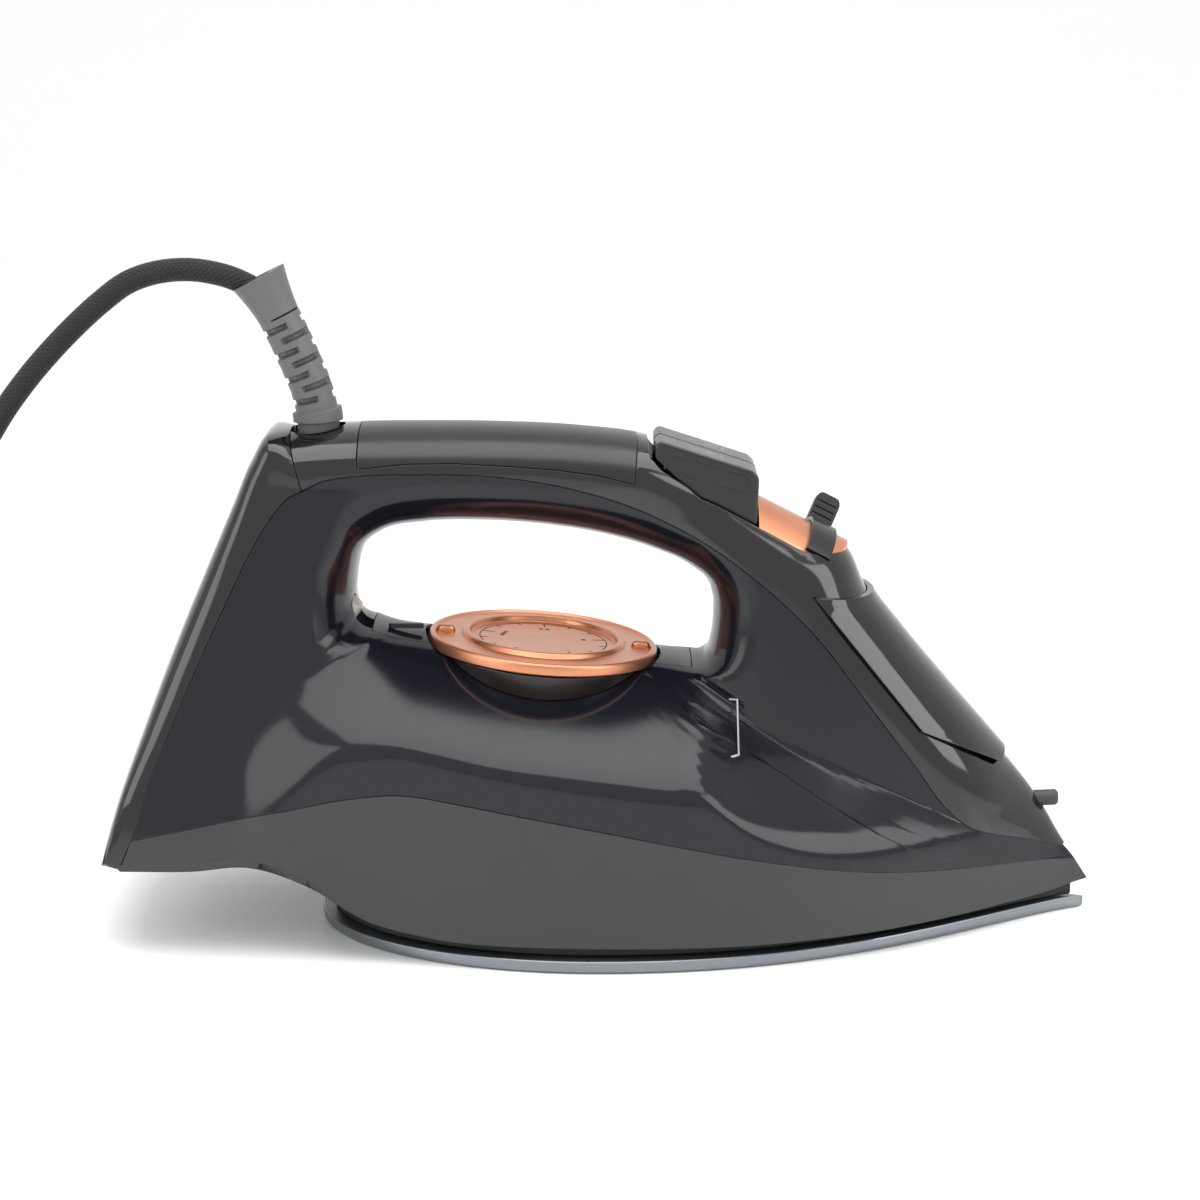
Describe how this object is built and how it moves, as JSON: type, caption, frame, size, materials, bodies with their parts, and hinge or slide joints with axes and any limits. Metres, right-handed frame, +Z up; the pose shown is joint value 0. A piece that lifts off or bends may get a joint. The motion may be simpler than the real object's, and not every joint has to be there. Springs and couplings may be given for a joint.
{
  "type": "steam iron",
  "caption": "Corded steam iron with a closed handle, see-through water tank, temperature dial, steam slider, spray and burst buttons, hinged filler lid and ball-jointed cord guard.",
  "frame": {"origin": "centre of the iron's footprint, lead and cord guard left out, on the underside of the soleplate", "axes": "+X towards the nose, +Y towards the iron's left side, +Z up from the soleplate"},
  "size_m": [0.48, 0.1425, 0.2033],
  "materials": {
    "sole_metal": "fine satin, steam holes",
    "cast_metal": "die cast",
    "element_steel": "dull oxidised",
    "sheet_steel": "pressed sheet",
    "heat_plastic": "matte",
    "seat_plastic": "dark gloss",
    "grip_plastic": "fine grain",
    "mark_black": "matte",
    "copper_paint": "metallic copper paint",
    "inner_plastic": "moulded",
    "inner_white": "ceramic white",
    "button_plastic": "satin gloss",
    "spring_steel": "bright wire",
    "brass": "turned",
    "rubber_black": "matte",
    "cover_gloss": "high gloss",
    "guard_grey": "satin flexible plastic",
    "lens_clear": "clear moulded lens",
    "lamp_amber": "neon lamp",
    "wire_brown": "insulation",
    "wire_blue": "insulation",
    "cord_rubber": "sheath",
    "hose_rubber": "silicone",
    "screw_steel": "zinc plated",
    "tank_smoke": "smoky translucent plastic",
    "inner_dark": "moulded",
    "skirt_satin": "satin dark grey",
    "cord_braid": "woven sleeve",
    "plug_black": "satin",
    "pin_chrome": "nickel plated"
  },
  "bodies": {
    "iron": {"soleplate": "sole_metal", "heater_casting": "cast_metal", "heating_element": "element_steel", "steam_chamber_cover": "sheet_steel", "heat_shield": "heat_plastic", "dial_seat": "seat_plastic", "deck_strip_rear": "grip_plastic", "deck_strip_front": "grip_plastic", "dial_index": "mark_black", "thermostat": "sheet_steel", "thermal_fuse": "inner_white", "spray_pump": "inner_plastic", "burst_pump": "inner_plastic", "spray_spring": "spring_steel", "burst_spring": "spring_steel", "regulator_plate": "copper_paint", "drip_valve_seat": "inner_plastic", "lid_hinge_pin": "spring_steel", "filler_neck": "inner_plastic", "spray_nozzle": "inner_plastic", "ball_cradle": "inner_plastic", "handle_grip": "grip_plastic", "pilot_lens": "lens_clear", "pilot_lamp": "lamp_amber", "terminal_block": "inner_white", "cord_clamp": "inner_plastic", "live_wire": "wire_brown", "live_lead": "wire_brown", "neutral_wire": "wire_blue", "neutral_lead": "wire_blue", "inner_cord": "cord_rubber", "nozzle_hose": "hose_rubber", "burst_hose": "hose_rubber", "heel_screw_right": "screw_steel", "heel_screw_left": "screw_steel", "water_tank": "tank_smoke", "tank_base": "inner_dark", "handle_cover": "cover_gloss", "lower_housing": "skirt_satin", "rear_cover": "cover_gloss", "cord_tube": "cord_braid", "cord_coil": "cord_braid", "cord_tail": "cord_braid", "plug_boot": "plug_black", "plug_body": "plug_black", "plug_pin_right": "pin_chrome", "plug_pin_left": "pin_chrome"},
    "dial": {"temperature_dial": "copper_paint", "dial_spindle": "inner_plastic"},
    "spray_push": {"spray_button": "button_plastic", "spray_piston": "inner_plastic"},
    "burst_push": {"burst_button": "button_plastic", "burst_piston": "inner_plastic"},
    "steam_slider": {"steam_regulator": "button_plastic"},
    "drip_rod": {"drip_valve_rod": "brass"},
    "lid": {"filler_lid": "cover_gloss", "lid_seal": "rubber_black"},
    "swivel": {"cord_swivel": "guard_grey"}
  },
  "joints": [
    {"name": "dial_turn", "type": "hinge", "parent": "iron", "child": "dial", "pos_m": [-0.0185, 0, 0.088], "axis": [0.0872, 0, 0.9962], "range_deg": [0, 210]},
    {"name": "spray_press", "type": "slide", "parent": "iron", "child": "spray_push", "axis": [0, 0, -1], "range_m": [0, 0.004], "stiffness_N_per_m": 900, "springref_m": -0.001, "deforming": ["spray_spring"]},
    {"name": "burst_press", "type": "slide", "parent": "iron", "child": "burst_push", "axis": [0, 0, -1], "range_m": [0, 0.004], "stiffness_N_per_m": 900, "springref_m": -0.001, "deforming": ["burst_spring"]},
    {"name": "steam_slide", "type": "hinge", "parent": "iron", "child": "steam_slider", "pos_m": [0.0563, 0, 0.10181], "axis": [0.891, 0, -0.454], "range_deg": [0, 50]},
    {"name": "drip_lift", "type": "slide", "parent": "iron", "child": "drip_rod", "axis": [0, 0, 1], "range_m": [0, 0.0022]},
    {"name": "lid_flap", "type": "hinge", "parent": "iron", "child": "lid", "pos_m": [0.1196, 0, 0.0538], "axis": [0, 1, 0], "range_deg": [0, 95]},
    {"name": "swivel_swing", "type": "hinge", "parent": "iron", "child": "swivel", "pos_m": [-0.0862, 0, 0.147], "axis": [0, 1, 0], "range_deg": [-35, 35], "deforming": ["cord_tube"]}
  ],
  "couplings": [
    {"joint": "steam_slide", "follows": "drip_lift", "rad_per_m": 396.66}
  ]
}
